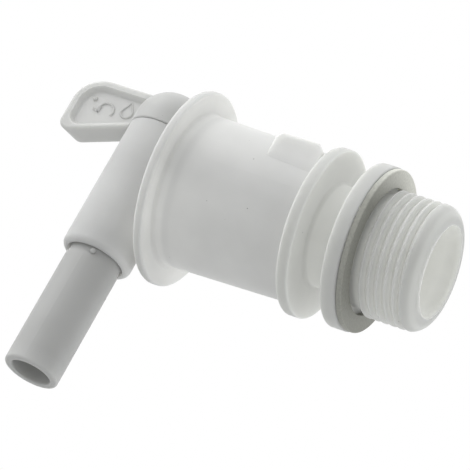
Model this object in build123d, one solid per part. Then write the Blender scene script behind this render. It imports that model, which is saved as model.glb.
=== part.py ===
from build123d import *
import math
import os

# Jerry can tap: a quarter-turn plug valve in front of a hollow barrel with a pipe-thread spigot.
# Frame: the spigot and barrel lie along Y with the can at +Y, the gasket's sealing face is y = 0,
# and the spout points down. All sizes are in millimetres.

# Thread, G 3/4 pipe size
THREAD_RADIUS = 13.22
THREAD_DEPTH = 1.16
THREAD_PITCH = 1.814
THREAD_TURNS = 5
CREST_WIDTH = 0.3
ROOT_WIDTH = 0.3
RELIEF_LENGTH = 1.1
SPIGOT_WALL = 3.52
LIP_ROUNDING = 3.13

# Gasket
GASKET_RADIUS = 17.04
GASKET_THICKNESS = 1.2
GASKET_CLEARANCE = 0.1
GASKET_EDGE = 0.2

# Sealing flange, neck and collar of the spigot
SEALING_FLANGE_RADIUS = 17.25
SEALING_FLANGE_THICKNESS = 3.5
NECK_RADIUS = 10.7
NECK_WALL = 2.4
NECK_LENGTH = 6.9
NECK_ROUNDING = 0.8
COLLAR_RADIUS = 17.75
COLLAR_THICKNESS = 2.6
DISC_EDGE = 0.4

# Sleeve of the spigot, plugged into the barrel
SLEEVE_LENGTH = 11.0
SLEEVE_WALL = 1.6
SLEEVE_CLEARANCE = 0.05
SLEEVE_LEAD_IN = 0.5

# Barrel and front flange
BARREL_REAR_RADIUS = 15.5
BARREL_DRAFT = 1.43
BARREL_LENGTH = 29.0
BARREL_WALL = 2.6
FLOOR_THICKNESS = 4.75
FLOOR_ROUNDING = 0.8
FLANGE_RADIUS = 20.75
FLANGE_THICKNESS = 1.9
FLANGE_EDGE = 0.5
FLANGE_ROOT = 0.8

# Corner lugs on the barrel
LUG_HALF_SPAN = 14.85
LUG_TOP = 11.55
LUG_LENGTH = 10.85
LUG_SETBACK = 0.45
LUG_CHAMFER = 1.6
LUG_NOSE = 0.8
LUG_EDGE = 0.4

# Plug, housing and the web between housing and flange
PLUG_RADIUS = 6.2
PLUG_CLEARANCE = 0.05
PLUG_SETBACK = 0.9
HOUSING_WALL = 1.42
HOUSING_GAP = 1.75
HOUSING_TOP = 9.15
HOUSING_BOTTOM = -21.9
HOUSING_EDGE = 1.35
HOUSING_TOP_EDGE = 0.3
WEB_WIDTH = 11.0
WEB_HEIGHT = 18.0
PORT_RADIUS = 3.6

# Spout
SPOUT_END = -49.9
SPOUT_STEP = 0.28
SPOUT_WALL = 1.57
SPOUT_EDGE = 0.6
SPOUT_MOUTH_EDGE = 0.3
PASSAGE_TOP = 7.0
NIB_RADIUS = 0.6
NIB_GAP = 0.15
NIB_ANGLE = 15.0
NIB_RELIEF = 0.22

# Hub and lever
HUB_OVERHANG = 0.13
HUB_GAP = 0.1
HUB_HEIGHT = 10.15
HUB_EDGE = 0.3
DOME_ROUNDING = 7.4
LEVER_REACH = 22.35
LEVER_THICKNESS = 6.0
LEVER_TOP_DROP = 2.4
LEVER_TIP_DEPTH = 14.85
LEVER_ROOT_DEPTH = 6.25
LEVER_TOP_CORNER = 6.2
LEVER_LOWER_CORNER = 2.2
LEVER_TIP_SLANT = 1.9
LEVER_EDGE = 0.6
LEVER_CLEARANCE = 0.15
DISH_TOP_RIM = 1.5
DISH_TIP_RIM = 1.7
DISH_LOWER_RIM = 0.9
DISH_LOWER_CORNER = 2.4
DISH_DEPTH = 1.2
DISH_SLOPE = 35.0
DISH_ROUNDING = 0.5

# Places along Y, from the sealing face forward
flange_rear_of_spigot = -GASKET_THICKNESS
neck_rear = flange_rear_of_spigot - SEALING_FLANGE_THICKNESS
collar_rear = neck_rear - NECK_LENGTH
collar_front = collar_rear - COLLAR_THICKNESS
barrel_front = collar_front - BARREL_LENGTH
flange_front = barrel_front - FLANGE_THICKNESS

# Radii that follow from walls and fits
relief_radius = THREAD_RADIUS - THREAD_DEPTH
barrel_bore = BARREL_REAR_RADIUS - BARREL_WALL
sleeve_radius = barrel_bore - SLEEVE_CLEARANCE
housing_bore = PLUG_RADIUS + PLUG_CLEARANCE
housing_radius = housing_bore + HOUSING_WALL
hub_radius = housing_radius + HUB_OVERHANG
spout_radius = PLUG_RADIUS - SPOUT_STEP
spout_bore = spout_radius - SPOUT_WALL

# The upright axis of the plug, and heights on it
plug_axis_y = flange_front - HOUSING_GAP - housing_radius
hub_underside = HOUSING_TOP + HUB_GAP
hub_top = hub_underside + HUB_HEIGHT
lever_top = hub_top - LEVER_TOP_DROP


def profile(corners):
    """A closed face from (radius, height, corner rounding) rows."""
    points = [(radius, height) for radius, height, rounding in corners]
    roundings = [rounding for radius, height, rounding in corners]
    return make_face(FilletPolyline(*points, radius=roundings, close=True))


def turned_lengthwise(corners):
    """Revolves a profile about the barrel's axis; heights are places along Y."""
    return revolve(profile(corners), axis=Axis.Y)


def turned_upright(corners):
    """Revolves a profile about the plug's upright axis."""
    return Pos(0, plug_axis_y, 0) * revolve(Plane.XZ * profile(corners), axis=Axis.Z)


def upright_cylinder(radius, bottom, top):
    """A cylinder on the plug's axis between two heights."""
    foot = Pos(0, plug_axis_y, bottom)
    return foot * Cylinder(radius, top - bottom, align=(Align.CENTER, Align.CENTER, Align.MIN))


def lengthwise_cylinder(radius, front, rear):
    """A cylinder on the barrel's axis between two places along Y."""
    return Pos(0, (front + rear) / 2, 0) * Rot(90, 0, 0) * Cylinder(radius, rear - front)


def make_threaded_spigot():
    """Sleeve, collar, neck, sealing flange and spigot, with a ring for each turn of the pipe thread."""
    flank = (THREAD_PITCH - CREST_WIDTH - ROOT_WIDTH) / 2
    thread = []
    for turn in range(THREAD_TURNS):
        crest = RELIEF_LENGTH + turn * THREAD_PITCH
        root = crest + CREST_WIDTH + flank
        thread += [
            (THREAD_RADIUS, crest, 0),
            (THREAD_RADIUS, crest + CREST_WIDTH, 0),
            (relief_radius, root, 0),
            (relief_radius, root + ROOT_WIDTH, 0),
        ]
    thread_end = RELIEF_LENGTH + THREAD_TURNS * THREAD_PITCH
    spigot_end = thread_end + CREST_WIDTH + LIP_ROUNDING
    spigot_bore = THREAD_RADIUS - SPIGOT_WALL
    neck_bore = NECK_RADIUS - NECK_WALL
    sleeve_bore = sleeve_radius - SLEEVE_WALL
    sleeve_front = collar_front - SLEEVE_LENGTH
    lip = min(LIP_ROUNDING, 0.94 * SPIGOT_WALL)
    return turned_lengthwise(
        [
            (sleeve_bore, sleeve_front, 0),
            (sleeve_radius, sleeve_front, SLEEVE_LEAD_IN),
            (sleeve_radius, collar_front, 0),
            (COLLAR_RADIUS, collar_front, DISC_EDGE),
            (COLLAR_RADIUS, collar_rear, DISC_EDGE),
            (NECK_RADIUS, collar_rear, NECK_ROUNDING),
            (NECK_RADIUS, neck_rear, NECK_ROUNDING),
            (SEALING_FLANGE_RADIUS, neck_rear, DISC_EDGE),
            (SEALING_FLANGE_RADIUS, flange_rear_of_spigot, DISC_EDGE),
            (relief_radius, flange_rear_of_spigot, 0),
            (relief_radius, RELIEF_LENGTH, 0),
            *thread,
            (THREAD_RADIUS, thread_end, 0),
            (THREAD_RADIUS, spigot_end, lip),
            (spigot_bore, spigot_end, 0),
            (spigot_bore, flange_rear_of_spigot, 0),
            (neck_bore, flange_rear_of_spigot, 0),
            (neck_bore, collar_front, 0),
            (sleeve_bore, collar_front, 0),
        ]
    )


def make_sealing_gasket():
    """Flat ring that lies against the sealing flange, its rear face on y = 0."""
    inner = THREAD_RADIUS + GASKET_CLEARANCE
    return turned_lengthwise(
        [
            (inner, flange_rear_of_spigot, 0),
            (GASKET_RADIUS, flange_rear_of_spigot, GASKET_EDGE),
            (GASKET_RADIUS, 0, GASKET_EDGE),
            (inner, 0, 0),
        ]
    )


def make_lugs():
    """A block across the barrel whose two upper corners stand proud of it."""
    rear = collar_front - LUG_SETBACK
    front = rear - LUG_LENGTH
    outline = Polyline(
        (front, 0),
        (front, LUG_TOP - LUG_CHAMFER),
        (front + LUG_NOSE, LUG_TOP),
        (rear - LUG_CHAMFER, LUG_TOP),
        (rear, LUG_TOP - LUG_CHAMFER),
        (rear, 0),
        close=True,
    )
    block = extrude(make_face(Plane.YZ * outline), amount=LUG_HALF_SPAN, both=True)
    return fillet(block.edges(), LUG_EDGE)


def make_housing():
    """The upright tube that holds the plug, and the web that joins it to the flange."""
    tube = upright_cylinder(housing_radius, HOUSING_BOTTOM, HOUSING_TOP)
    tube = fillet(tube.edges().group_by(Axis.Z)[0], HOUSING_EDGE)
    tube = fillet(tube.edges().group_by(Axis.Z)[-1], HOUSING_TOP_EDGE)
    web_face = Plane.XZ.offset(-flange_front) * SlotOverall(WEB_HEIGHT, WEB_WIDTH, rotation=90)
    web = extrude(web_face, amount=HOUSING_GAP + housing_radius)
    return tube + web


def make_tap_body():
    """Front flange, hollow barrel with lugs, plug housing and the port between them."""
    barrel_front_radius = BARREL_REAR_RADIUS + BARREL_LENGTH * math.tan(math.radians(BARREL_DRAFT))
    floor = flange_front + FLOOR_THICKNESS
    shell = turned_lengthwise(
        [
            (0, flange_front, 0),
            (FLANGE_RADIUS, flange_front, FLANGE_EDGE),
            (FLANGE_RADIUS, barrel_front, FLANGE_EDGE),
            (barrel_front_radius, barrel_front, FLANGE_ROOT),
            (BARREL_REAR_RADIUS, collar_front, 0),
            (0, collar_front, 0),
        ]
    )
    cavity = turned_lengthwise(
        [
            (0, floor, 0),
            (barrel_bore, floor, FLOOR_ROUNDING),
            (barrel_bore, collar_front, 0),
            (0, collar_front, 0),
        ]
    )
    body = shell + make_lugs() - cavity + make_housing()
    body -= upright_cylinder(housing_bore, HOUSING_BOTTOM, HOUSING_TOP)
    return body - lengthwise_cylinder(PORT_RADIUS, plug_axis_y, floor)


def make_dish(tip, side):
    """Shallow dish with sloped walls for one side of the lever, +1 near or -1 far."""
    drop = (LEVER_TIP_DEPTH - LEVER_ROOT_DEPTH) / LEVER_REACH
    lower_rim = DISH_LOWER_RIM * math.sqrt(1 + drop**2)
    axis_low = lever_top - LEVER_ROOT_DEPTH + lower_rim
    dish_tip = tip + DISH_TIP_RIM
    dish_top = lever_top - DISH_TOP_RIM
    outline = FilletPolyline(
        (plug_axis_y, dish_top),
        (dish_tip, dish_top),
        (dish_tip, axis_low - (plug_axis_y - dish_tip) * drop),
        (plug_axis_y, axis_low),
        radius=[0, LEVER_TOP_CORNER - DISH_TOP_RIM, DISH_LOWER_CORNER, 0],
        close=True,
    )
    dish = extrude(Plane.YZ.offset(LEVER_THICKNESS / 2) * make_face(outline), amount=-DISH_DEPTH, taper=DISH_SLOPE)
    floor_edges = dish.faces().sort_by(Axis.X)[0].edges()
    dish = fillet(floor_edges, DISH_ROUNDING)
    return dish if side > 0 else mirror(dish, about=Plane.YZ)


def make_lever():
    """Dished paddle that runs forward from the hub, deepens towards its tip and slants back across it."""
    tip = plug_axis_y - LEVER_REACH
    half = LEVER_THICKNESS / 2
    side_outline = Polyline(
        (plug_axis_y, lever_top),
        (tip, lever_top),
        (tip, lever_top - LEVER_TIP_DEPTH),
        (plug_axis_y, lever_top - LEVER_ROOT_DEPTH),
        close=True,
    )
    paddle = extrude(Plane.YZ * make_face(side_outline), amount=half, both=True)
    slant = Polyline((half, tip), (-half, tip + LEVER_TIP_SLANT), (-half, tip), close=True)
    paddle -= Pos(0, 0, HOUSING_BOTTOM) * extrude(make_face(slant), amount=hub_top - HOUSING_BOTTOM)

    def tip_edges():
        """The two edges across the tip, lower one first."""
        across = paddle.edges().filter_by(lambda edge: abs(edge.center().X) < half / 2)
        return across.filter_by(lambda edge: edge.center().Y < tip + LEVER_TIP_SLANT).sort_by(Axis.Z)

    paddle = fillet(tip_edges()[0], LEVER_LOWER_CORNER)
    paddle = fillet(tip_edges()[-1], LEVER_TOP_CORNER)
    faces = paddle.faces().filter_by(Axis.X)
    rim_edges = faces.edges().filter_by(lambda edge: edge.center().Y < plug_axis_y - hub_radius / 4)
    paddle = fillet(rim_edges, LEVER_EDGE)
    paddle = paddle - make_dish(tip, 1) - make_dish(tip + LEVER_TIP_SLANT, -1)
    below_hub = upright_cylinder(housing_radius + LEVER_CLEARANCE, HOUSING_BOTTOM, hub_underside)
    return paddle - below_hub


def make_valve_plug():
    """Hub, lever, plug with its side port, and hollow spout, moulded in one."""
    plug_end = HOUSING_BOTTOM + PLUG_SETBACK
    nib_height = HOUSING_BOTTOM - NIB_GAP - NIB_RADIUS
    spout_top = nib_height - NIB_RADIUS - NIB_GAP
    relief = spout_radius - NIB_RELIEF
    dome = min(DOME_ROUNDING, hub_radius - HUB_EDGE, HUB_HEIGHT - HUB_EDGE)
    plug = turned_upright(
        [
            (0, hub_top, 0),
            (hub_radius, hub_top, dome),
            (hub_radius, hub_underside, HUB_EDGE),
            (PLUG_RADIUS, hub_underside, 0),
            (PLUG_RADIUS, plug_end, 0),
            (relief, plug_end - SPOUT_STEP, 0),
            (relief, spout_top, 0),
            (spout_radius, spout_top, 0),
            (spout_radius, SPOUT_END, SPOUT_EDGE),
            (spout_bore, SPOUT_END, SPOUT_MOUTH_EDGE),
            (spout_bore, PASSAGE_TOP, 0),
            (0, PASSAGE_TOP, 0),
        ]
    )
    plug -= lengthwise_cylinder(PORT_RADIUS, plug_axis_y, plug_axis_y + housing_radius)
    for turn in (NIB_ANGLE, NIB_ANGLE + 180):
        nib_place = Pos(0, plug_axis_y, nib_height) * Rot(0, 0, turn) * Pos(spout_radius, 0, 0)
        plug += nib_place * Sphere(NIB_RADIUS)
    return plug + make_lever()


parts = {
    "tap_body": make_tap_body(),
    "threaded_spigot": make_threaded_spigot(),
    "sealing_gasket": make_sealing_gasket(),
    "valve_plug": make_valve_plug(),
}

os.makedirs("parts", exist_ok=True)
for name, solid in parts.items():
    export_step(solid, f"parts/{name}.step")
    print(name, len(solid.solids()), round(solid.volume, 1), "mm3")
print("plug axis y", round(plug_axis_y, 3))
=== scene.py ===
import logging
import math
from dataclasses import dataclass
from enum import Enum

import bpy
from mathutils import Matrix, Vector


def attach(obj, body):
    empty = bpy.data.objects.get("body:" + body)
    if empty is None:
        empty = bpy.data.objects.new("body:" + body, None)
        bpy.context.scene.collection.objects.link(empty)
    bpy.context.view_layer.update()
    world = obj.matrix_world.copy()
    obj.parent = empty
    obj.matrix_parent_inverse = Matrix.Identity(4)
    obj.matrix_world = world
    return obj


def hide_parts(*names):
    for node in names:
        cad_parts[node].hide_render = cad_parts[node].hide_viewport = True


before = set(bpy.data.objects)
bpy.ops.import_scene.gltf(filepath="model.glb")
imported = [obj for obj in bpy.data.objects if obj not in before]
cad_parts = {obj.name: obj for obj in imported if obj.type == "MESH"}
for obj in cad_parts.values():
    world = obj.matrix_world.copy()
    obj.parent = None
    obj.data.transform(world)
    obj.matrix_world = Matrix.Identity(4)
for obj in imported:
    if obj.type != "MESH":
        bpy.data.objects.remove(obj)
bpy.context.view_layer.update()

log = logging.getLogger("jerry_can_tap")

MM = 0.001

Colour = tuple[float, float, float]
Shares = tuple[tuple[float, float], ...]
Points = list[tuple[float, float, float]]
Faces = list[tuple[int, ...]]

# Values of a noise texture at which its dark and pale patches are full
NOISE_LOW = 0.3
NOISE_HIGH = 0.7

# Share of a dust speck's radius that is fully dark
SPECK_CORE = 0.7

# Places of the two colours and the result among a mix node's sockets
MIX_FIRST = 6
MIX_SECOND = 7
MIX_RESULT = 2


class Body(Enum):
    """The bodies that the tap's pieces ride on."""

    TAP = "tap"
    VALVE = "valve"


class Slot(Enum):
    """Names of two of the record's material slots; the script does not use them."""

    MILKY = "milky_plastic"
    WHITE = "white_plastic"


def grey(level: float) -> Colour:
    """Returns the grey of that level."""
    return (level, level, level)


# Node building


class NodeTree:
    """Short calls for building the nodes of one material or world."""

    def __init__(self, owner: bpy.types.Material | bpy.types.World) -> None:
        """Starts with no nodes.

        Args:
            owner: the material or world.
        """
        owner.use_nodes = True
        self.tree = owner.node_tree
        self.tree.nodes.clear()

    def add(self, kind: str, **values: object) -> bpy.types.Node:
        """Adds a node and sets its sockets or properties.

        Args:
            kind: Blender's name for the node.
            values: socket names in lower case with underscores, or property names.

        Returns:
            The new node.
        """
        node = self.tree.nodes.new(kind)
        # From the last to the first, so that of two sockets with one name the first is kept
        sockets = {socket.name.lower().replace(" ", "_"): socket for socket in reversed(node.inputs)}
        for key, value in values.items():
            if key in sockets:
                sockets[key].default_value = value
            else:
                setattr(node, key, value)
        return node

    def join(self, source: bpy.types.NodeSocket, target: bpy.types.NodeSocket) -> None:
        """Links one socket to another."""
        self.tree.links.new(source, target)

    def show(self, shader: bpy.types.NodeSocket, output: str = "ShaderNodeOutputMaterial") -> None:
        """Makes a shader the tree's surface."""
        self.join(shader, self.add(output).inputs["Surface"])

    def part_position(self) -> bpy.types.NodeSocket:
        """Returns the socket with the surface point in the tap's own frame, in metres."""
        return self.add("ShaderNodeTexCoord").outputs["Object"]

    def split_position(self) -> bpy.types.Node:
        """Adds the node that gives the surface point's X, Y and Z.

        Returns:
            The node.
        """
        split = self.add("ShaderNodeSeparateXYZ")
        self.join(self.part_position(), split.inputs["Vector"])
        return split

    def along_axis(self) -> bpy.types.NodeSocket:
        """Returns the socket with the place along the tap's axis, in metres."""
        return self.split_position().outputs["Y"]

    def height(self) -> bpy.types.NodeSocket:
        """Returns the socket with the height over the tap's axis, in metres."""
        return self.split_position().outputs["Z"]

    def off_axis(self) -> bpy.types.NodeSocket:
        """Adds the distance from the tap's axis.

        Returns:
            The socket with the radius in metres.
        """
        split = self.split_position()
        across = self.add("ShaderNodeCombineXYZ")
        self.join(split.outputs["X"], across.inputs["X"])
        self.join(split.outputs["Z"], across.inputs["Z"])
        radius = self.add("ShaderNodeVectorMath", operation="LENGTH")
        self.join(across.outputs["Vector"], radius.inputs[0])
        return radius.outputs["Value"]

    def ramp(
        self, factor: bpy.types.NodeSocket, stops: tuple[tuple[float, Colour], ...]
    ) -> bpy.types.NodeSocket:
        """Adds a colour ramp.

        Args:
            factor: the socket that drives it.
            stops: (value, colour) rows in rising order.

        Returns:
            The ramp's colour socket.
        """
        node = self.add("ShaderNodeValToRGB")
        marks = node.color_ramp.elements
        while len(marks) < len(stops):
            marks.new(0.5)
        for mark, (value, colour) in zip(marks, stops):
            mark.position = value
            mark.color = (*colour, 1.0)
        self.join(factor, node.inputs["Fac"])
        return node.outputs["Color"]

    def placed_ramp(
        self, place: bpy.types.NodeSocket, rows: tuple[tuple[float, Colour], ...]
    ) -> bpy.types.NodeSocket:
        """Adds a colour ramp over a place in the tap. Past its ends the end colours go on.

        Args:
            place: the socket with the place in metres.
            rows: (place in mm, colour) in rising order.

        Returns:
            The ramp's colour socket.
        """
        first = rows[0][0]
        last = rows[-1][0]
        scaled = self.add("ShaderNodeMapRange", from_min=first * MM, from_max=last * MM)
        self.join(place, scaled.inputs["Value"])
        stops = tuple(((mm - first) / (last - first), colour) for mm, colour in rows)
        return self.ramp(scaled.outputs["Result"], stops)

    def placed_shares(self, place: bpy.types.NodeSocket, rows: Shares) -> bpy.types.NodeSocket:
        """Adds a grey ramp over a place in the tap, from (place in mm, share) rows in rising order."""
        return self.placed_ramp(place, tuple((mm, grey(share)) for mm, share in rows))

    def product(
        self,
        one: bpy.types.NodeSocket,
        other: bpy.types.NodeSocket,
        where: bpy.types.NodeSocket | None = None,
    ) -> bpy.types.NodeSocket:
        """Multiplies two colours.

        Args:
            one: the first colour's socket.
            other: the second colour's socket.
            where: a socket with 1 where the second colour counts, or None for everywhere.

        Returns:
            The product's socket.
        """
        node = self.add("ShaderNodeMix", data_type="RGBA", blend_type="MULTIPLY")
        node.inputs["Factor"].default_value = 1.0
        if where:
            self.join(where, node.inputs["Factor"])
        self.join(one, node.inputs[MIX_FIRST])
        self.join(other, node.inputs[MIX_SECOND])
        return node.outputs[MIX_RESULT]

    def noise(self, scale: float, detail: float) -> bpy.types.NodeSocket:
        """Adds a noise texture over the part's own position.

        Args:
            scale: waves per metre.
            detail: how many finer layers it has.

        Returns:
            The texture's value socket.
        """
        node = self.add("ShaderNodeTexNoise", scale=scale, detail=detail)
        self.join(self.part_position(), node.inputs["Vector"])
        return node.outputs["Fac"]

    def patches(self, noise: bpy.types.NodeSocket, low: Colour, high: Colour) -> bpy.types.NodeSocket:
        """Turns a noise into soft patches of two colours and returns the colour's socket."""
        return self.ramp(noise, ((NOISE_LOW, low), (NOISE_HIGH, high)))

    def specks(self, scale: float, size: float, share: float) -> bpy.types.NodeSocket:
        """Adds small dark specks of dust with soft rims.

        Args:
            scale: cells per metre, each with one speck somewhere in it.
            size: a speck's radius as a share of its cell.
            share: brightness inside a speck.

        Returns:
            The socket with white, dark in the specks.
        """
        cells = self.add("ShaderNodeTexVoronoi", scale=scale)
        self.join(self.part_position(), cells.inputs["Vector"])
        stops = ((SPECK_CORE * size, grey(share)), (size, grey(1.0)))
        return self.ramp(cells.outputs["Distance"], stops)

    def bump(self, height: bpy.types.NodeSocket, strength: float, depth: float) -> bpy.types.NodeSocket:
        """Adds a bump node.

        Args:
            height: the socket with the relief.
            strength: share of the relief that shows.
            depth: depth of the full relief in mm.

        Returns:
            The bent normal's socket.
        """
        node = self.add("ShaderNodeBump", strength=strength, distance=depth * MM)
        self.join(height, node.inputs["Height"])
        return node.outputs["Normal"]

    def seen_directly(self) -> bpy.types.NodeSocket:
        """Adds the test for rays that show the backdrop itself.

        Returns:
            A socket with 1 for camera, mirror and clear rays.
        """
        path = self.add("ShaderNodeLightPath")
        both = self.add("ShaderNodeMath", operation="ADD")
        self.join(path.outputs["Is Camera Ray"], both.inputs[0])
        self.join(path.outputs["Is Glossy Ray"], both.inputs[1])
        every = self.add("ShaderNodeMath", operation="ADD", use_clamp=True)
        self.join(both.outputs["Value"], every.inputs[0])
        self.join(path.outputs["Is Transmission Ray"], every.inputs[1])
        return every.outputs["Value"]

    def white_backdrop(self, lit: bpy.types.NodeSocket, white: bpy.types.NodeSocket) -> bpy.types.NodeSocket:
        """Shows plain white to the eye and another shader to the light.

        Args:
            lit: the shader that the light meets.
            white: the white shader.

        Returns:
            The blended shader's socket.
        """
        blend = self.add("ShaderNodeMixShader")
        self.join(self.seen_directly(), blend.inputs["Fac"])
        self.join(lit, blend.inputs[1])
        self.join(white, blend.inputs[2])
        return blend.outputs["Shader"]


# Finishes


@dataclass(frozen=True)
class PaintedGlow:
    """Painted glow: emission that stands in for light coming through a moulded wall, with painted light and
    shade that change along the tap, upward and outward.

    Each set of shares has (place in mm, share) rows in rising order, and an empty one changes nothing.
    The outward shares count only behind outward_from.
    """

    tint: Colour
    cloudiness: float
    along: Shares = ()
    upward: Shares = ()
    outward: Shares = ()
    outward_from: float = 0.0
    cloud_scale: float = 150.0

    def paint_glow(self, nodes: NodeTree) -> bpy.types.NodeSocket:
        """Adds the painted glow to a finish.

        Args:
            nodes: the finish's tree.

        Returns:
            The socket with the painted glow's colour.
        """
        thick = tuple(part * (1.0 - self.cloudiness) for part in self.tint)
        thin = tuple(part * (1.0 + self.cloudiness) for part in self.tint)
        light = nodes.patches(nodes.noise(self.cloud_scale, detail=4.0), thick, thin)
        if self.along:
            light = nodes.product(light, nodes.placed_shares(nodes.along_axis(), self.along))
        if self.upward:
            light = nodes.product(light, nodes.placed_shares(nodes.height(), self.upward))
        if self.outward:
            behind = nodes.add("ShaderNodeMath", operation="GREATER_THAN")
            behind.inputs[1].default_value = self.outward_from * MM
            nodes.join(nodes.along_axis(), behind.inputs[0])
            spread = nodes.placed_shares(nodes.off_axis(), self.outward)
            light = nodes.product(light, spread, behind.outputs["Value"])
        return light


@dataclass(frozen=True)
class MouldedPlastic:
    """Satin moulded plastic that scatters light, with soft clouds, dust, wear, a fine grain and a painted
    glow.

    The tone_by_height rows are (height in mm, share of the colour). Depths are in mm, scales in waves per
    metre.
    """

    name: str
    pale: Colour
    deep: Colour
    scatter_weight: float
    scatter_depth: float
    painted_glow: PaintedGlow
    roughness: float
    gloss: float
    speck_size: float
    grain: float
    tone_by_height: Shares = ()
    scatter_colour: Colour = (1.0, 1.0, 0.94)
    refraction: float = 1.5
    roughness_spread: float = 0.06
    cloud_scale: float = 90.0
    wear_scale: float = 420.0
    grain_scale: float = 2600.0
    grain_depth: float = 0.05
    speck_scale: float = 300.0
    speck_share: float = 0.55

    def material(self) -> bpy.types.Material:
        """Builds the finish.

        Returns:
            The material.
        """
        material = bpy.data.materials.new(self.name)
        nodes = NodeTree(material)
        surface = nodes.add(
            "ShaderNodeBsdfPrincipled",
            subsurface_weight=self.scatter_weight,
            subsurface_radius=self.scatter_colour,
            subsurface_scale=self.scatter_depth * MM,
            emission_strength=1.0,
            specular_ior_level=self.gloss,
            ior=self.refraction,
        )
        colour = nodes.patches(nodes.noise(self.cloud_scale, detail=2.0), self.deep, self.pale)
        if self.tone_by_height:
            colour = nodes.product(colour, nodes.placed_shares(nodes.height(), self.tone_by_height))
        dust = nodes.specks(self.speck_scale, self.speck_size, self.speck_share)
        nodes.join(nodes.product(colour, dust), surface.inputs["Base Color"])
        # Painted glow: emission that stands in for light through the wall, with painted light and shade
        nodes.join(nodes.product(self.painted_glow.paint_glow(nodes), dust), surface.inputs["Emission Color"])
        smooth = grey(self.roughness - self.roughness_spread)
        rough = grey(self.roughness + self.roughness_spread)
        wear = nodes.patches(nodes.noise(self.wear_scale, detail=3.0), smooth, rough)
        nodes.join(wear, surface.inputs["Roughness"])
        grain = nodes.noise(self.grain_scale, detail=4.0)
        nodes.join(nodes.bump(grain, self.grain, self.grain_depth), surface.inputs["Normal"])
        nodes.show(surface.outputs["BSDF"])
        return material


@dataclass(frozen=True)
class GasketRubber:
    """Grey rubber with fine speckle, painted light on the cut edge, and painted light and shade that make it
    paler high up and darker low down.

    The painted light and shade change between two heights, and the painted edge light lies outside a radius,
    all in mm.
    """

    name: str
    painted_shade_grey: Colour
    painted_lit_grey: Colour
    painted_light_start: float
    painted_light_full: float
    painted_edge_light_share: float
    cut_radius: float
    roughness: float
    cut_blend: float = 0.15
    worn_share: float = 0.86
    speckle_scale: float = 1800.0
    speckle_low: float = 0.35
    speckle_high: float = 0.65
    speckle_strength: float = 0.4
    speckle_depth: float = 0.05
    gloss: float = 0.3
    refraction: float = 1.5

    def material(self) -> bpy.types.Material:
        """Builds the finish.

        Returns:
            The material.
        """
        material = bpy.data.materials.new(self.name)
        nodes = NodeTree(material)
        surface = nodes.add(
            "ShaderNodeBsdfPrincipled",
            roughness=self.roughness,
            specular_ior_level=self.gloss,
            ior=self.refraction,
        )
        speckle = nodes.noise(self.speckle_scale, detail=5.0)
        worn_rows = ((self.speckle_low, grey(self.worn_share)), (self.speckle_high, grey(1.0)))
        worn = nodes.ramp(speckle, worn_rows)
        # Painted light and shade: the rubber is paler high up and darker low down
        painted_light_rows = ((self.painted_light_start, self.painted_shade_grey), (self.painted_light_full, self.painted_lit_grey))
        painted_light_by_height = nodes.placed_ramp(nodes.height(), painted_light_rows)
        # Painted light: the cut edge outside cut_radius is paler than the face
        painted_edge_light_rows = ((self.cut_radius - self.cut_blend, 1.0), (self.cut_radius, self.painted_edge_light_share))
        cut = nodes.placed_shares(nodes.off_axis(), painted_edge_light_rows)
        nodes.join(nodes.product(nodes.product(painted_light_by_height, worn), cut), surface.inputs["Base Color"])
        bent = nodes.bump(speckle, self.speckle_strength, self.speckle_depth)
        nodes.join(bent, surface.inputs["Normal"])
        nodes.show(surface.outputs["BSDF"])
        return material


# Pieces: solids that are dressed, and new meshes


def dress_solid(node: str, finish: MouldedPlastic | GasketRubber) -> bpy.types.Object:
    """Puts a finish on a solid that is shown as it is.

    Args:
        node: the solid's name in the frame.
        finish: the finish.

    Returns:
        The solid.
    """
    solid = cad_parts[node]
    solid.data.materials.clear()
    solid.data.materials.append(finish.material())
    return solid


def new_piece(
    name: str, points: Points, faces: Faces, finish: MouldedPlastic, sharp_angle: float | None = None
) -> bpy.types.Object:
    """Makes a smooth mesh piece and puts it in the scene.

    Args:
        name: the piece's name.
        points: its points in mm.
        faces: its faces as rows of point numbers.
        finish: its finish.
        sharp_angle: angle in degrees past which an edge stays sharp, or None for all smooth.

    Returns:
        The new piece.
    """
    mesh = bpy.data.meshes.new(name)
    mesh.from_pydata([tuple(part * MM for part in point) for point in points], [], faces)
    mesh.update()
    mesh.shade_smooth()
    if sharp_angle is not None:
        mesh.set_sharp_from_angle(angle=math.radians(sharp_angle))
    mesh.materials.append(finish.material())
    piece = bpy.data.objects.new(name, mesh)
    bpy.context.scene.collection.objects.link(piece)
    return piece


@dataclass(frozen=True)
class Corner:
    """One corner of a turned profile: radius and place along the axis, with its rounding, in mm."""

    radius: float
    place: float
    rounding: float = 0.0

    def point(self) -> Vector:
        """Returns the corner as (radius, place)."""
        return Vector((self.radius, self.place))


def rounded_outline(corners: list[Corner], steps: int) -> list[tuple[float, float]]:
    """Draws the closed profile with its rounded corners.

    Args:
        corners: the profile's corners in order.
        steps: pieces in each rounding.

    Returns:
        (radius, place) points in mm.
    """
    points = []
    for index, corner in enumerate(corners):
        here = corner.point()
        if corner.rounding == 0.0:
            points.append((here.x, here.y))
            continue
        back = (corners[index - 1].point() - here).normalized()
        ahead = (corners[(index + 1) % len(corners)].point() - here).normalized()
        half_angle = back.angle(ahead) / 2
        centre = here + (back + ahead).normalized() * corner.rounding / math.sin(half_angle)
        first = here + back * corner.rounding / math.tan(half_angle) - centre
        last = here + ahead * corner.rounding / math.tan(half_angle) - centre
        sweep = first.angle_signed(last)
        for step in range(steps + 1):
            point = centre + Matrix.Rotation(-sweep * step / steps, 2) @ first
            points.append((point.x, point.y))
    return points


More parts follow.
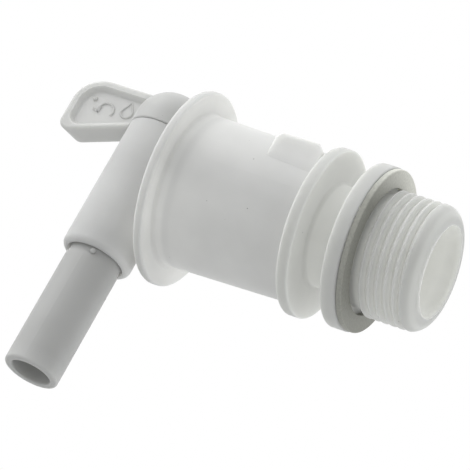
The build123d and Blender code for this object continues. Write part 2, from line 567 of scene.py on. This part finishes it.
@dataclass
class ThreadedSpigot:
    """Sleeve, collar, neck, sealing flange and spigot, turned as one mesh with its real thread.

    Sizes are in mm, and places lie along the axis from the gasket's sealing face.
    """

    thread_radius: float = 13.22
    thread_depth: float = 1.16
    pitch: float = 1.814
    thread_start: float = 1.1
    thread_end: float = 10.17
    crest_width: float = 0.3
    root_width: float = 0.3
    run_out_past: float = 0.9
    run_out_length: float = 1.2
    relief_radius: float = 12.06
    spigot_end: float = 13.6
    lip: float = 3.13
    bore: float = 9.7
    sealing_face: float = 0.0
    flange_radius: float = 17.25
    flange_rear: float = -1.2
    neck_rear: float = -4.7
    neck_radius: float = 10.7
    neck_bore: float = 8.3
    neck_rounding: float = 0.8
    collar_radius: float = 17.75
    collar_rear: float = -11.6
    collar_front: float = -14.2
    disc_edge: float = 0.4
    sleeve_radius: float = 12.85
    sleeve_bore: float = 11.25
    sleeve_front: float = -25.2
    lead_in: float = 0.5
    columns: int = 240
    rows_per_turn: int = 36
    rounding_steps: int = 14
    sharp_angle: float = 35.0
    tolerance: float = 0.01

    def corners(self) -> list[Corner]:
        """Lists the turned profile's corners.

        Returns:
            The corners in order round the section.
        """
        return [
            Corner(self.sleeve_bore, self.sleeve_front),
            Corner(self.sleeve_radius, self.sleeve_front, self.lead_in),
            Corner(self.sleeve_radius, self.collar_front),
            Corner(self.collar_radius, self.collar_front, self.disc_edge),
            Corner(self.collar_radius, self.collar_rear, self.disc_edge),
            Corner(self.neck_radius, self.collar_rear, self.neck_rounding),
            Corner(self.neck_radius, self.neck_rear, self.neck_rounding),
            Corner(self.flange_radius, self.neck_rear, self.disc_edge),
            Corner(self.flange_radius, self.flange_rear, self.disc_edge),
            Corner(self.relief_radius, self.flange_rear),
            Corner(self.relief_radius, self.thread_start),
            Corner(self.thread_radius, self.thread_start),
            Corner(self.thread_radius, self.spigot_end, self.lip),
            Corner(self.bore, self.spigot_end),
            Corner(self.bore, self.flange_rear),
            Corner(self.neck_bore, self.flange_rear),
            Corner(self.neck_bore, self.collar_front),
            Corner(self.sleeve_bore, self.collar_front),
        ]

    def on_crest(self, radius: float) -> bool:
        """Tells whether a radius is the thread's outer one."""
        return abs(radius - self.thread_radius) < self.tolerance

    def outline(self) -> list[tuple[float, float]]:
        """Draws the section, with many points along the thread.

        Returns:
            (radius, place) points in mm.
        """
        points = []
        for radius, place in rounded_outline(self.corners(), self.rounding_steps):
            if points and self.on_crest(points[-1][0]) and self.on_crest(radius):
                last = points[-1][1]
                count = int((place - last) / self.pitch * self.rows_per_turn)
                for step in range(1, count):
                    points.append((self.thread_radius, last + (place - last) * step / count))
            points.append((radius, place))
        return points

    def groove(self, place: float, angle: float) -> float:
        """Depth of the thread's groove at one point, in mm.

        Args:
            place: place along the axis in mm.
            angle: angle round the axis in radians.

        Returns:
            The depth below the crest.
        """
        turns = (place - self.thread_start) / self.pitch - angle / math.tau
        along = (turns - math.floor(turns)) * self.pitch - self.crest_width
        flank = (self.pitch - self.crest_width - self.root_width) / 2
        from_root = abs(along - flank - self.root_width / 2) - self.root_width / 2
        shape = min(1.0, max(0.0, 1.0 - from_root / flank))
        left = self.thread_end + self.run_out_past - place
        run_out = min(1.0, max(0.0, left / self.run_out_length))
        return self.thread_depth * run_out * shape

    def turned_points(self, outline: list[tuple[float, float]]) -> Points:
        """Turns the section about the axis and cuts the thread into it.

        Args:
            outline: the section's (radius, place) points in mm.

        Returns:
            The mesh's points in mm, one ring after another.
        """
        points = []
        for radius, place in outline:
            outside = radius > self.relief_radius + 2 * self.tolerance
            threaded = outside and place > self.thread_start - self.tolerance
            for column in range(self.columns):
                angle = math.tau * column / self.columns
                cut = self.groove(place, angle) if threaded else 0.0
                reach = max(radius - cut, min(radius, self.relief_radius))
                points.append((reach * math.sin(angle), place, reach * math.cos(angle)))
        return points

    def ring_faces(self, rings: int) -> Faces:
        """Joins each ring of points to the next, and the last to the first.

        Args:
            rings: how many rings there are.

        Returns:
            The faces.
        """
        faces = []
        for ring in range(rings):
            here = ring * self.columns
            there = (ring + 1) % rings * self.columns
            for column in range(self.columns):
                beside = (column + 1) % self.columns
                faces.append((here + column, there + column, there + beside, here + beside))
        return faces

    def painted_light_along(self) -> Shares:
        """Lists the painted glow's shares along the axis: painted light in the neck groove, painted shade at
        the gasket.

        Returns:
            (place, share) rows.
        """
        return (
            (self.sleeve_front, 0.85),
            (self.collar_rear - 0.3, 0.85),
            (self.collar_rear, 1.5),
            (self.collar_rear + 1.0, 1.85),
            (self.neck_rear - 0.9, 1.7),
            (self.neck_rear - 0.3, 1.4),
            (self.neck_rear + 0.1, 0.85),
            (self.flange_rear - 0.4, 0.85),
            (self.flange_rear - 0.2, 0.4),
            (self.flange_rear, 0.3),
            (self.sealing_face, 0.25),
            (self.sealing_face + 0.6, 0.6),
            (self.sealing_face + 1.2, 0.8),
            (self.sealing_face + 6.0, 0.92),
            (self.sealing_face + 10.0, 1.0),
            (self.spigot_end - 0.4, 0.75),
            (self.spigot_end, 0.3),
        )

    def painted_light_outward(self) -> Shares:
        """Lists the painted glow's shares outward: painted light in the bore and in the thread's grooves.

        Returns:
            (radius, share) rows.
        """
        return (
            (0.0, 2.6),
            (self.bore + 0.02, 2.6),
            (self.bore + 0.2, 0.9),
            (self.bore + 1.0, 1.2),
            (self.relief_radius - 0.16, 1.7),
            (self.relief_radius + 0.24, 1.7),
            (self.thread_radius - 0.42, 1.0),
            (self.thread_radius - 0.02, 0.75),
        )

    def finish(self) -> MouldedPlastic:
        """Describes the spigot's milky plastic.

        Returns:
            The finish.
        """
        # Painted glow: emission that stands in for light through the milky wall, with painted light and
        # shade
        painted_glow = PaintedGlow(
            tint=(0.13, 0.131, 0.124),
            cloudiness=0.06,
            along=self.painted_light_along(),
            # Painted light: the top of the spigot glows a little more
            upward=((10.0, 1.0), (18.0, 1.12)),
            outward=self.painted_light_outward(),
            outward_from=self.flange_rear - 0.1,
        )
        return MouldedPlastic(
            name="milky_spigot_polythene",
            pale=(0.50, 0.502, 0.488),
            deep=(0.465, 0.467, 0.453),
            scatter_weight=1.0,
            scatter_depth=4.5,
            painted_glow=painted_glow,
            roughness=0.62,
            gloss=0.2,
            speck_size=0.045,
            grain=0.12,
        )

    def build(self) -> bpy.types.Object:
        """Turns the mesh and puts it in place of the plain solid.

        Returns:
            The new piece.
        """
        outline = self.outline()
        points = self.turned_points(outline)
        faces = self.ring_faces(len(outline))
        piece = new_piece("threaded_spigot_turned", points, faces, self.finish(), self.sharp_angle)
        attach(piece, Body.TAP.value)
        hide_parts("threaded_spigot")
        return piece


@dataclass
class TapBody:
    """Plug housing, front flange and hollow barrel. Sizes are in mm, places along the axis."""

    node: str = "tap_body"
    housing_front: float = -62.19
    housing_rear: float = -46.85
    flange_front: float = -45.1
    flange_rear: float = -43.2
    flange_radius: float = 20.75
    flange_root_radius: float = 16.4
    cavity_floor: float = -40.35
    barrel_rear: float = -14.2

    def painted_light_along(self) -> Shares:
        """Lists the painted glow's shares along the axis: less at the housing, with painted shade at the
        cavity's floor.

        Returns:
            (place, share) rows.
        """
        return (
            (self.housing_front, 0.55),
            (self.housing_rear - 3.65, 0.6),
            (self.housing_rear - 0.65, 1.2),
            (self.flange_front, 1.0),
            (self.flange_rear, 1.15),
            (self.flange_rear + 0.6, 1.45),
            (self.cavity_floor - 1.05, 1.45),
            (self.cavity_floor - 0.35, 1.1),
            (self.cavity_floor + 0.45, 1.1),
            (self.cavity_floor + 1.35, 1.25),
            (self.cavity_floor + 4.35, 1.2),
            (self.cavity_floor + 10.35, 1.15),
            (self.barrel_rear - 2.8, 1.1),
            (self.barrel_rear - 1.4, 1.2),
            (self.barrel_rear, 1.4),
        )

    def painted_light_outward(self) -> Shares:
        """Lists the painted glow's shares outward: painted light on the thin flange, painted shade at its
        rim.

        Returns:
            (radius, share) rows.
        """
        return (
            (self.flange_root_radius - 0.8, 1.0),
            (self.flange_root_radius, 1.3),
            (self.flange_radius - 1.75, 1.4),
            (self.flange_radius - 0.45, 1.15),
            (self.flange_radius, 0.5),
        )

    def finish(self) -> MouldedPlastic:
        """Describes the body's milky plastic.

        Returns:
            The finish.
        """
        # Painted glow: emission that stands in for light through the milky wall, with painted light and
        # shade
        painted_glow = PaintedGlow(
            tint=(0.10, 0.10, 0.096),
            cloudiness=0.06,
            along=self.painted_light_along(),
            # Painted light and shade: the body's glow changes with height
            upward=(
                (-18.0, 1.0),
                (-15.0, 1.35),
                (-8.0, 1.35),
                (-4.0, 1.0),
                (0.0, 1.05),
                (5.0, 1.4),
                (20.0, 1.5),
            ),
            outward=self.painted_light_outward(),
            outward_from=self.flange_front - 0.05,
        )
        return MouldedPlastic(
            name="milky_barrel_polythene",
            pale=(0.545, 0.545, 0.537),
            deep=(0.51, 0.51, 0.502),
            scatter_weight=1.0,
            scatter_depth=4.0,
            painted_glow=painted_glow,
            roughness=0.62,
            gloss=0.2,
            speck_size=0.045,
            grain=0.12,
        )

    def dress(self) -> bpy.types.Object:
        """Puts the milky plastic on the solid and returns it."""
        return dress_solid(self.node, self.finish())


@dataclass
class ValvePlug:
    """Lever, hub, plug and spout in one moulding. Sizes are in mm: places along the axis, and heights."""

    node: str = "valve_plug"
    lever_tip: float = -76.65
    lever_root: float = -62.0
    spout_end: float = -49.9
    spout_top: float = -14.0
    hub_foot: float = 6.0

    def finish(self) -> MouldedPlastic:
        """Describes the white plastic: a painted glow lights the lever, and the spout is a tone greyer.

        Returns:
            The finish.
        """
        # Painted glow: mostly on the lever, faint on the hub and spout
        painted_glow = PaintedGlow(
            tint=(0.12, 0.12, 0.116),
            cloudiness=0.04,
            along=(
                (self.lever_tip - 2.35, 0.2),
                (self.lever_tip + 2.65, 1.0),
                (self.lever_root, 1.0),
                (self.lever_root + 2.0, 0.15),
            ),
        )
        return MouldedPlastic(
            name="white_polypropylene",
            pale=(0.545, 0.545, 0.532),
            deep=(0.515, 0.515, 0.502),
            scatter_weight=0.8,
            scatter_depth=2.0,
            painted_glow=painted_glow,
            roughness=0.5,
            gloss=0.4,
            speck_size=0.02,
            grain=0.15,
            # Colour shares by height: the spout is a tone darker than the hub and lever
            tone_by_height=(
                (self.spout_end + 0.4, 0.95),
                (self.spout_end + 3.9, 0.84),
                (self.spout_top, 0.84),
                (self.hub_foot, 1.0),
            ),
        )

    def dress(self) -> bpy.types.Object:
        """Puts the white plastic on the solid and returns it."""
        return dress_solid(self.node, self.finish())


@dataclass
class LeverMarks:
    """Raised pip, turn arrow and water drop on the floor of the lever's dish.

    Sizes are in mm, angles in degrees. Places on the floor are along the tap and up.
    Shoulders and the pip's top are shares of a ridge's width, of its height or of the pip's radius.
    """

    floor: float = 1.8
    height: float = 0.3
    sink: float = 0.05
    ridge_width: float = 0.6
    shoulder: float = 0.32
    shoulder_rise: float = 0.7
    curve_steps: int = 24
    pip_place: tuple[float, float] = (-72.27, 12.48)
    pip_radius: float = 0.55
    pip_shoulder: float = 0.85
    pip_top: float = 0.5
    pip_crown: float = 0.1
    pip_points: int = 20
    arrow_place: tuple[float, float] = (-68.8, 10.6)
    arrow_radius: float = 1.75
    arrow_sweep: tuple[float, float] = (-30.0, 210.0)
    arrow_barb: float = 1.3
    barb_lean: float = 40.0
    drop_place: tuple[float, float] = (-64.2, 11.5)
    drop_radius: float = 1.25
    drop_height: float = 2.6

    def ridge_section(self) -> tuple[tuple[float, float], ...]:
        """Describes a ridge's section.

        Returns:
            (share of the width, rise in mm) points from side to side.
        """
        shoulder_height = self.shoulder_rise * self.height
        return (
            (-0.5, -self.sink),
            (-self.shoulder, shoulder_height),
            (0.0, self.height),
            (self.shoulder, shoulder_height),
            (0.5, -self.sink),
        )

    def ridge(self, path: list[Vector], closed: bool) -> tuple[Points, Faces]:
        """Draws a rounded ridge along a path on the dish floor.

        Args:
            path: points on the floor, along the tap and up, in mm.
            closed: whether the last point joins the first.

        Returns:
            The ridge's points in mm and its faces.
        """
        section = self.ridge_section()
        points = []
        for index, spot in enumerate(path):
            before = path[index - 1] if closed or index else spot
            after = path[(index + 1) % len(path)] if closed or index + 1 < len(path) else spot
            ahead = (after - before).normalized()
            side = Vector((-ahead.y, ahead.x))
            for across, rise in section:
                edge = spot + side * across * self.ridge_width
                points.append((self.floor + rise, edge.x, edge.y))
        size = len(section)
        faces = []
        for index in range(len(path) if closed else len(path) - 1):
            here = index * size
            there = (index + 1) % len(path) * size
            for step in range(size - 1):
                faces.append((here + step, here + step + 1, there + step + 1, there + step))
        if not closed:
            faces.append(tuple(range(size)))
            faces.append(tuple(reversed(range((len(path) - 1) * size, len(path) * size))))
        return points, faces

    def arc(self, middle: Vector, radius: float, first: float, sweep: float) -> list[Vector]:
        """Returns an arc's points on the dish floor, from its first angle through a sweep in radians."""
        angles = [first + sweep * step / self.curve_steps for step in range(self.curve_steps + 1)]
        return [middle + Vector((math.cos(angle), math.sin(angle))) * radius for angle in angles]

    def turn_arrow(self) -> list[tuple[Points, Faces]]:
        """Draws the arc and its barbs.

        Returns:
            The three ridges.
        """
        first, last = (math.radians(angle) for angle in self.arrow_sweep)
        arc = self.arc(Vector(self.arrow_place), self.arrow_radius, first, last - first)
        tip = arc[-1]
        ridges = [self.ridge(arc, closed=False)]
        for lean in (-self.barb_lean, self.barb_lean):
            way = last - math.radians(90.0 + lean)
            barb = Vector((math.cos(way), math.sin(way))) * self.arrow_barb
            ridges.append(self.ridge([tip + barb, tip], closed=False))
        return ridges

    def water_drop(self) -> tuple[Points, Faces]:
        """Draws the drop's outline.

        Returns:
            The closed ridge.
        """
        middle = Vector(self.drop_place)
        half = math.asin(self.drop_radius / self.drop_height)
        bowl = self.arc(middle, self.drop_radius, math.pi - half, math.pi + 2 * half)
        top = middle + Vector((0.0, self.drop_height))
        return self.ridge([top] + bowl, closed=True)

    def pip(self) -> tuple[Points, Faces]:
        """Draws the small round pip.

        Returns:
            Its points in mm and faces.
        """
        count = self.pip_points
        rings = (
            (1.0, -self.sink),
            (self.pip_shoulder, self.height),
            (self.pip_top, self.height + self.pip_crown),
        )
        points = []
        for share, rise in rings:
            for step in range(count):
                angle = math.tau * step / count
                along = self.pip_place[0] + self.pip_radius * share * math.cos(angle)
                up = self.pip_place[1] + self.pip_radius * share * math.sin(angle)
                points.append((self.floor + rise, along, up))
        faces = [tuple(range(2 * count, 3 * count))]
        for ring in (0, count):
            for step in range(count):
                beside = (step + 1) % count
                faces.append((ring + step, ring + beside, ring + count + beside, ring + count + step))
        return points, faces

    def finish(self) -> MouldedPlastic:
        """Describes the marks' white plastic, a tone darker than the lever's, with a faint painted glow.

        Returns:
            The finish.
        """
        return MouldedPlastic(
            name="worn_white_polypropylene",
            pale=(0.49, 0.49, 0.478),
            deep=(0.45, 0.45, 0.438),
            scatter_weight=0.8,
            scatter_depth=1.0,
            # A faint painted glow on the marks
            painted_glow=PaintedGlow(tint=(0.07, 0.07, 0.068), cloudiness=0.04),
            roughness=0.6,
            gloss=0.3,
            speck_size=0.02,
            grain=0.15,
        )

    def build(self) -> bpy.types.Object:
        """Makes the marks as one piece that turns with the valve.

        Returns:
            The new piece.
        """
        points = []
        faces = []
        for spots, rows in [*self.turn_arrow(), self.water_drop(), self.pip()]:
            base = len(points)
            points += spots
            faces += [tuple(base + number for number in row) for row in rows]
        piece = new_piece("lever_marks", points, faces, self.finish())
        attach(piece, Body.VALVE.value)
        return piece


@dataclass
class SealingGasket:
    """Flat rubber ring on the sealing flange. Its radius and edge are in mm."""

    node: str = "sealing_gasket"
    radius: float = 17.04
    edge: float = 0.09

    def finish(self) -> GasketRubber:
        """Describes the grey rubber.

        Returns:
            The finish.
        """
        return GasketRubber(
            name="grey_gasket_rubber",
            # Painted shade low down and painted light high up
            painted_shade_grey=(0.31, 0.31, 0.275),
            painted_lit_grey=(0.77, 0.77, 0.70),
            painted_light_start=2.0,
            painted_light_full=16.0,
            # Painted light on the cut edge
            painted_edge_light_share=1.25,
            cut_radius=self.radius - self.edge,
            roughness=0.55,
        )

    def dress(self) -> bpy.types.Object:
        """Puts the rubber on the solid and returns it."""
        return dress_solid(self.node, self.finish())


# Studio


@dataclass(frozen=True)
class SoftLight:
    """A square soft light, placed by how it lies in the photo.

    Its sight is the place to the right, up and toward the viewer from the tap's middle. Metres and watts.
    """

    name: str
    sight: tuple[float, float, float]
    size: float
    power: float


@dataclass
class Studio:
    """Camera, pale floor and soft light. Sizes are in metres, the camera's sensor and lens in mm.

    The camera's right, up and toward are directions in the tap's frame, toward the viewer.
    """

    right: tuple[float, float, float] = (-0.1919, 0.8762, 0.4422)
    up: tuple[float, float, float] = (0.5209, -0.2910, 0.8025)
    toward: tuple[float, float, float] = (0.8318, 0.3843, -0.4006)
    camera_place: tuple[float, float, float] = (0.50538, 0.20382, -0.24990)
    sensor: float = 36.0
    focal_length: float = 229.787
    nearest: float = 0.01
    tap_middle: tuple[float, float, float] = (0.0, -0.03, -0.01)
    floor_height: float = -0.90
    floor_side: float = 8.0
    floor_level: float = 0.8
    world_level: float = 0.69
    world_tint: Colour = (0.97, 0.985, 1.0)
    lights: tuple[SoftLight, ...] = (
        SoftLight("key_light", (-0.3, 0.65, -0.04), 0.6, 2.8),
        SoftLight("fill_light", (0.52, -0.3, -0.1), 0.6, 0.9),
        SoftLight("top_light", (0.4, 0.5, -0.3), 0.5, 0.5),
    )

    def place_camera(self) -> None:
        """Sets the camera that the photo was taken from."""
        data = bpy.data.cameras.new("photo_camera")
        data.sensor_fit = "HORIZONTAL"
        data.sensor_width = self.sensor
        data.lens = self.focal_length
        data.clip_start = self.nearest
        camera = bpy.data.objects.new("photo_camera", data)
        turn = Matrix((self.right, self.up, self.toward)).transposed()
        camera.matrix_world = Matrix.Translation(self.camera_place) @ turn.to_4x4()
        bpy.context.scene.collection.objects.link(camera)
        bpy.context.scene.camera = camera

    def light_world(self) -> None:
        """Makes the world white to the eye and a plain level for light."""
        world = bpy.data.worlds.new("studio_white")
        nodes = NodeTree(world)
        white = nodes.add("ShaderNodeBackground", color=(1.0, 1.0, 1.0, 1.0), strength=1.0)
        soft = nodes.add("ShaderNodeBackground", color=(*self.world_tint, 1.0), strength=self.world_level)
        backdrop = nodes.white_backdrop(soft.outputs["Background"], white.outputs["Background"])
        nodes.show(backdrop, "ShaderNodeOutputWorld")
        bpy.context.scene.world = world

    def lay_floor(self) -> None:
        """Lays the pale floor far below the tap, white to the eye."""
        bpy.ops.mesh.primitive_plane_add(size=self.floor_side, location=(0.0, 0.0, self.floor_height))
        floor = bpy.context.object
        floor.name = "studio_floor"
        material = bpy.data.materials.new("studio_floor_white")
        nodes = NodeTree(material)
        matt = nodes.add("ShaderNodeBsdfDiffuse", color=(*grey(self.floor_level), 1.0))
        white = nodes.add("ShaderNodeEmission", strength=1.0)
        nodes.show(nodes.white_backdrop(matt.outputs["BSDF"], white.outputs["Emission"]))
        floor.data.materials.append(material)

    def hang_light(self, soft: SoftLight) -> None:
        """Hangs one soft light, turned to the tap.

        Args:
            soft: the light.
        """
        data = bpy.data.lights.new(soft.name, "AREA")
        data.shape = "SQUARE"
        data.size = soft.size
        data.energy = soft.power
        light = bpy.data.objects.new(soft.name, data)
        aside, above, near = soft.sight
        offset = Vector(self.right) * aside + Vector(self.up) * above + Vector(self.toward) * near
        light.location = Vector(self.tap_middle) + offset
        light.rotation_euler = offset.to_track_quat("Z", "Y").to_euler()
        bpy.context.scene.collection.objects.link(light)

    def build(self) -> None:
        """Sets up the whole studio."""
        bpy.context.scene.view_settings.view_transform = "Standard"
        self.place_camera()
        self.light_world()
        self.lay_floor()
        for soft in self.lights:
            self.hang_light(soft)
        log.info("studio: camera, floor and %d soft lights", len(self.lights))


def main() -> None:
    """Builds the tap's pieces in order and reports them, then the studio."""
    logging.basicConfig(level=logging.INFO, format="%(name)s: %(message)s")
    pieces = (
        ThreadedSpigot().build(),
        TapBody().dress(),
        ValvePlug().dress(),
        LeverMarks().build(),
        SealingGasket().dress(),
    )
    for piece in pieces:
        mesh = piece.data
        log.info("%s: %d faces, finish %s", piece.name, len(mesh.polygons), mesh.materials[0].name)
    Studio().build()


if __name__ == "__main__":
    main()
